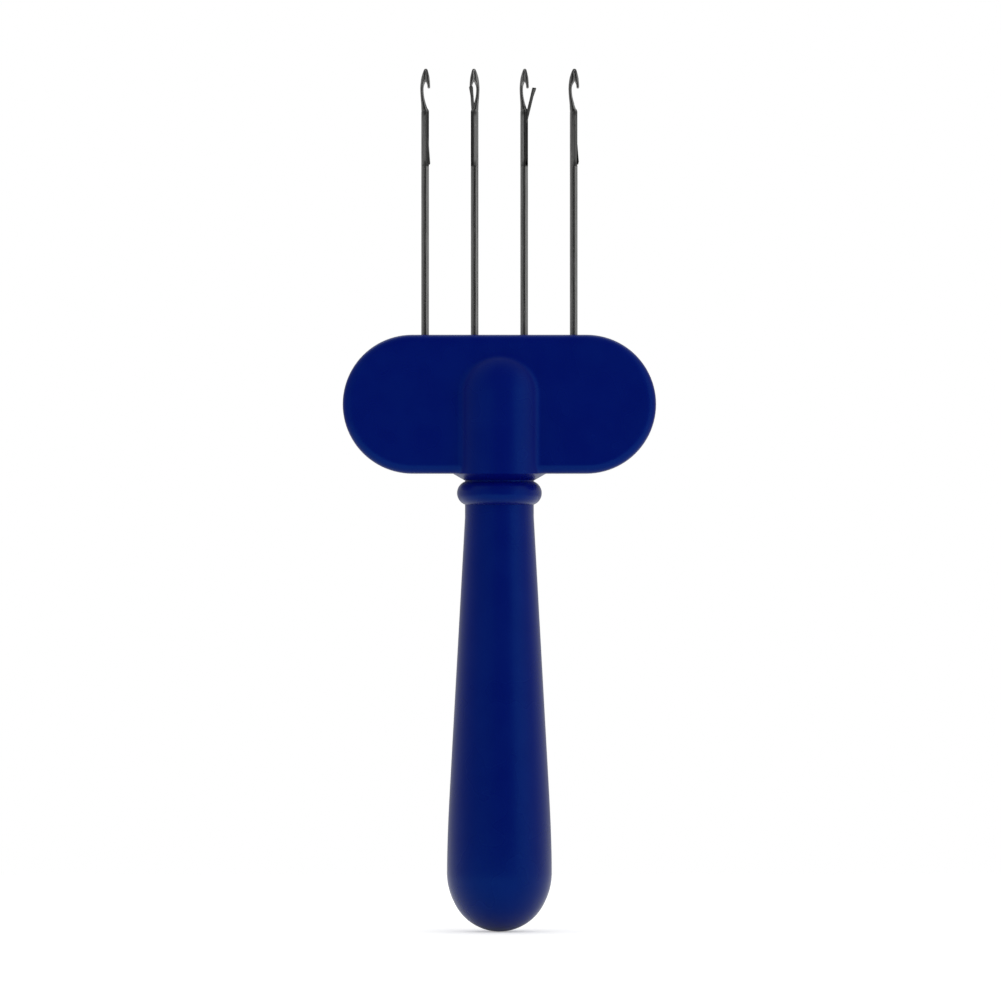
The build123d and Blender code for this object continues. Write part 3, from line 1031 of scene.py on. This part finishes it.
def hollow_cup(blade):
    """Trim the cup's rim to an arch, hollow the cup and open it upwards."""
    wide = 2 * CUP_OUTER
    top = cup_along + CUP_LIP + wide
    arch = [(x, cup_along + rise) for x, rise in CUP_ARCH]
    low = arch[0][1]
    trim = ((-wide, low), *arch, (wide, low), (wide, top), (-wide, top))
    combine(blade, "DIFFERENCE", prism("trim", trim, -wide, wide))
    combine(blade, "DIFFERENCE", bowl("hollow", CUP_INNER, -wide))
    section = arc_points((CUP_OFFSET, 0), CUP_INNER, -90, 90, CHANNEL_STEPS)
    section += [(-wide, CUP_INNER), (-wide, -CUP_INNER)]
    sheets = [[(x, y, z) for x, y in section] for z in (cup_along, top)]
    combine(blade, "DIFFERENCE", skinned("channel", sheets))


latch = flat_blade()
combine(latch, "UNION", widening_neck())
combine(latch, "UNION", bowl("cup", CUP_OUTER, -CUP_DEPTH))
hollow_cup(latch)
eye_hole = circle_points((0, 0), EYE_HOLE, CUTTER_STEPS)
combine(latch, "DIFFERENCE", prism("eye_hole", eye_hole, -OVERRUN, OVERRUN))
clean(latch)
print("latch:", len(latch.data.polygons), "faces")

# %% [markdown]
# ## A geometry-node tree for the stations
# The four needles are the same part, pushed into the head at an even pitch and each turned about its
# own axis. This tree does what the assembler's hands do: it swings a part about its pivot, then
# turns it and sets it at its station. The latches use the same tree with their own lean.

# %% Station tree
STATION_INPUTS = (
    ("Lean", "Float"), ("Pivot", "Vector"), ("Turn", "Float"), ("Station", "Float"),
    ("Material", "Material"),
)


def station_tree():
    """Lean a part, set it at its pivot, turn it about the needle's axis and set it at its station."""
    tree, given = start_tree("set_at_station", STATION_INPUTS)
    lean, turn, place = (tree.nodes.new("ShaderNodeCombineXYZ") for _ in range(3))
    swing, stand = (tree.nodes.new("GeometryNodeTransform") for _ in range(2))
    connect(
        tree,
        (given, "Lean", lean, "Y"),
        (given, "Turn", turn, "Z"),
        (given, "Station", place, "X"),
        (given, "Geometry", swing, "Geometry"),
        (lean, "Vector", swing, "Rotation"),
        (given, "Pivot", swing, "Translation"),
        (swing, "Geometry", stand, "Geometry"),
        (turn, "Vector", stand, "Rotation"),
        (place, "Vector", stand, "Translation"),
    )
    return finish_tree(tree, given, stand)


AT_STATION = station_tree()
print("tree ready:", AT_STATION.name)

# %% [markdown]
# ## Four of each
# In the photograph each needle faces its own way, and each latch stands open by its own share of
# its swing. A needle rides on the tool, and a latch on its own hinged body, so that it can swing.

# %% Place the needles and latches
PITCH = 9.5 * MM
TURNS = (-25.0, 205.0, -36.0, 0.0)  # direction of each hook's open side, in degrees from +X
OPEN_SHARES = (1.0, 0.0, 0.075, 1.0)  # how far each latch stands open


def set_at_station(part, name, lean, pivot, turn, station, material):
    """A copy of a part, placed by the station tree and turned into a plain mesh."""
    piece = link_piece(part.data.copy(), name)
    modifier = piece.modifiers.new("station", "NODES")
    modifier.node_group = AT_STATION
    titles = [title for title, _ in STATION_INPUTS]
    set_inputs(modifier, dict(zip(titles, (radians(lean), pivot, radians(turn), station, material))))
    return shade(settle(piece), smooth_angle=35)


pivot = (PIVOT_OFFSET, 0, PIVOT_HEIGHT)
for number, (turn, share) in enumerate(zip(TURNS, OPEN_SHARES), 1):
    station = (number - (NEEDLE_COUNT + 1) / 2) * PITCH
    lean = closed_lean + share * latch_swing
    wire = set_at_station(needle, f"needle_{number}_drawn", 0, (0, 0, 0), turn, station, wire_steel)
    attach(wire, "tool")
    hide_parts(f"needle_{number}")
    blade = set_at_station(latch, f"latch_{number}_pressed", lean, pivot, turn, station, shaded_latch_steel)
    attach(blade, f"latch_{number}_body")
    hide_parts(f"latch_{number}")
    print("needle", number, "turned", turn, "degrees, latch leans", round(lean, 1), "degrees")
bpy.data.objects.remove(needle)
bpy.data.objects.remove(latch)

# %% [markdown]
# ## Camera
# The photograph is taken level with the tool and from far away, so its upright lines stay parallel.
# The camera stands two metres off with a long lens that spans the same width as the photograph.

# %% Camera
PHOTO_PIXELS = 1001
PIXEL = 0.1918 * MM  # size of one pixel at the tool
AXIS_COLUMN = 499.4  # column of the handle's axis in the photograph
BUTT_ROW = 931.5  # row of the butt's lowest point
CAMERA_DISTANCE = 2.0
SENSOR = 36.0

camera_data = bpy.data.cameras.new("camera")
camera = bpy.data.objects.new("camera", camera_data)
bpy.context.scene.collection.objects.link(camera)
camera_data.sensor_width = SENSOR
camera_data.lens = SENSOR * CAMERA_DISTANCE / (PHOTO_PIXELS * PIXEL)
camera_data.clip_start = 0.1
camera_data.clip_end = 20
picture_centre = PHOTO_PIXELS / 2
camera.location = (
    (picture_centre - AXIS_COLUMN) * PIXEL,
    -CAMERA_DISTANCE,
    (BUTT_ROW - picture_centre) * PIXEL,
)
camera.rotation_euler = (pi / 2, 0, 0)
bpy.context.scene.camera = camera
bpy.context.scene.view_settings.view_transform = "Standard"
print("lens", round(camera_data.lens, 1), "mm, height", round(camera.location.z / MM, 2), "mm")

# %% [markdown]
# ## The room
# The tool is photographed against white. The world is white where the camera looks, white behind
# the tool where its surfaces mirror it, and dimmer in front, as a room is behind the photographer.
# A soft box on the right, a light overhead and a dark canopy above the camera shape what the satin
# plastic and the steel mirror. Matt surfaces see one plain level instead.

# %% World
# Each stop is a place from straight in front of the tool (0) to straight behind it (1), and a level
ROOM_STOPS = (
    (0.0, 0.03), (0.05, 0.10), (0.21, 0.24), (0.50, 0.33), (0.68, 0.44), (0.86, 0.48), (1.0, 0.50)
)
MATT_LEVEL = 0.92

# Each light: its level, and where it starts and is full, measured sideways, along or up (-1 to 1)
SOFT_BOX_LEVEL, SOFT_BOX_EDGE = 0.30, (0.56, 0.68)
SOFT_BOX_END, SOFT_BOX_REST = (-0.35, 0.0), 0.2  # towards the back only a rest of it is left
OVERHEAD_LEVEL, OVERHEAD_EDGE, OVERHEAD_START = 0.7, (0.45, 0.75), (0.05, 0.3)
CANOPY_TILT = 38  # how far above the camera the dark canopy is, in degrees
CANOPY_REACH = 40
CANOPY_HEART = 0.97  # cosine of the angle from its middle up to which it is darkest
CANOPY_LEVEL = 0.04


def lit_room(tree, direction):
    """How bright the room is in a direction, with its soft box and its light overhead."""
    parts, ramp = tree.nodes.new("ShaderNodeSeparateXYZ"), tree.nodes.new("ShaderNodeValToRGB")
    tree.links.new(direction, parts.inputs["Vector"])
    sideways, along, up = (parts.outputs[axis] for axis in "XYZ")
    elements = ramp.color_ramp.elements
    for position, _ in ROOM_STOPS[1:-1]:
        elements.new(position)
    for element, (_, level) in zip(elements, ROOM_STOPS):
        element.color = (level, level, level, 1)
    tree.links.new(arithmetic(tree, "MULTIPLY_ADD", along, 0.5, 0.5), ramp.inputs["Fac"])

    box_edge = smooth_step(tree, sideways, SOFT_BOX_EDGE, (0, SOFT_BOX_LEVEL))
    box_end = smooth_step(tree, along, SOFT_BOX_END, (1, SOFT_BOX_REST))
    soft_box = arithmetic(tree, "MULTIPLY", box_edge, box_end)
    top = smooth_step(tree, up, OVERHEAD_EDGE, (0, OVERHEAD_LEVEL))
    overhead = arithmetic(tree, "MULTIPLY", top, smooth_step(tree, along, OVERHEAD_START, (0, 1)))
    return arithmetic(tree, "ADD", arithmetic(tree, "ADD", ramp.outputs["Color"], soft_box), overhead)


def canopy_shade(tree, direction):
    """A share of the light, which is small where the dark canopy hangs above the camera."""
    canopy = tree.nodes.new("ShaderNodeVectorMath")
    canopy.operation = "DOT_PRODUCT"
    tilt = radians(CANOPY_TILT)
    canopy.inputs[1].default_value = (0, -cos(tilt), sin(tilt))
    tree.links.new(direction, canopy.inputs[0])
    places = (cos(radians(CANOPY_REACH)), CANOPY_HEART)
    return smooth_step(tree, canopy.outputs["Value"], places, (1, CANOPY_LEVEL))


def ray_kinds(tree):
    """Whether the camera sees a ray, and whether a glossy or a clear surface mirrors it."""
    path = tree.nodes.new("ShaderNodeLightPath").outputs
    mirrored = arithmetic(tree, "MAXIMUM", path["Is Glossy Ray"], path["Is Transmission Ray"])
    return path["Is Camera Ray"], mirrored


def mixed(tree, share, first, second):
    """A number between two others, each of them a socket or a plain number."""
    mix = tree.nodes.new("ShaderNodeMix")
    for title, value in (("Factor", share), ("A", first), ("B", second)):
        feed(tree, mix.inputs[title], value)
    return mix.outputs["Result"]


world = bpy.data.worlds.new("studio")
bpy.context.scene.world = world
world.use_nodes = True
sky = world.node_tree
direction = sky.nodes.new("ShaderNodeTexCoord").outputs["Generated"]
room = arithmetic(sky, "MULTIPLY", lit_room(sky, direction), canopy_shade(sky, direction))
seen, mirrored = ray_kinds(sky)
strength = mixed(sky, seen, mixed(sky, mirrored, MATT_LEVEL, room), 1)
background = sky.nodes["Background"]
background.inputs["Color"].default_value = (1, 1, 1, 1)
sky.links.new(strength, background.inputs["Strength"])
print("world ready:", world.name)

# %% [markdown]
# ## Lamps
# Two large soft lamps add an even light, stronger from the right. They are felt on matt surfaces
# only: their own mirror images would draw hard squares on the handle.

# %% Lamps
TOOL_MIDDLE = (0, 0, 0.08)
LAMP_SIZE = 0.9
LAMPS = (("lamp right", (1.1, -0.9, 0.1), 7.0), ("lamp left", (-0.8, -1.2, 0.0), 2.5))


def soft_lamp(name, place, power):
    """A large area lamp that points at the tool and isn't mirrored in glossy surfaces."""
    data = bpy.data.lights.new(name, "AREA")
    data.shape = "RECTANGLE"
    data.size = data.size_y = LAMP_SIZE
    data.energy = power
    lamp = bpy.data.objects.new(name, data)
    lamp.location = place
    lamp.rotation_euler = (Vector(TOOL_MIDDLE) - Vector(place)).to_track_quat("-Z", "Y").to_euler()
    lamp.visible_glossy = False
    bpy.context.scene.collection.objects.link(lamp)


for name, place, power in LAMPS:
    soft_lamp(name, place, power)
    print(name, "with", power, "watts")

# %% [markdown]
# ## Floor
# The tool stands on a pale floor that fades into the white behind it. The floor glows just enough
# for the camera that it shows white apart from the tool's shadow, and glossy surfaces see a share
# of that glow.

# %% Floor
FLOOR_HALF = 0.3
FLOOR_GLOW = 0.35
MIRRORED_SHARE = 0.2  # of the glow, where a glossy surface mirrors the floor

bm = bmesh.new()
corners = ((-1, -1), (1, -1), (1, 1), (-1, 1))
bm.faces.new([bm.verts.new((x * FLOOR_HALF, y * FLOOR_HALF, 0)) for x, y in corners])
floor = piece_from(bm, "floor")
pale, _, pale_shader = patterned(
    "white floor",
    dark=(0.84, 0.84, 0.84, 1),
    light=(0.88, 0.88, 0.88, 1),
    roughness=(0.86, 0.94),
    scales=(30, 30, 900),
    relief=0.1,
)
seen, mirrored = ray_kinds(pale.node_tree)
mirrored = arithmetic(pale.node_tree, "MULTIPLY", mirrored, MIRRORED_SHARE)
shown = arithmetic(pale.node_tree, "MAXIMUM", seen, mirrored)
glow = arithmetic(pale.node_tree, "MULTIPLY", shown, FLOOR_GLOW)
pale.node_tree.links.new(glow, pale_shader.inputs["Emission Strength"])
pale_shader.inputs["Emission Color"].default_value = (1, 1, 1, 1)
floor.data.materials.append(pale)
print("floor ready:", floor.name)
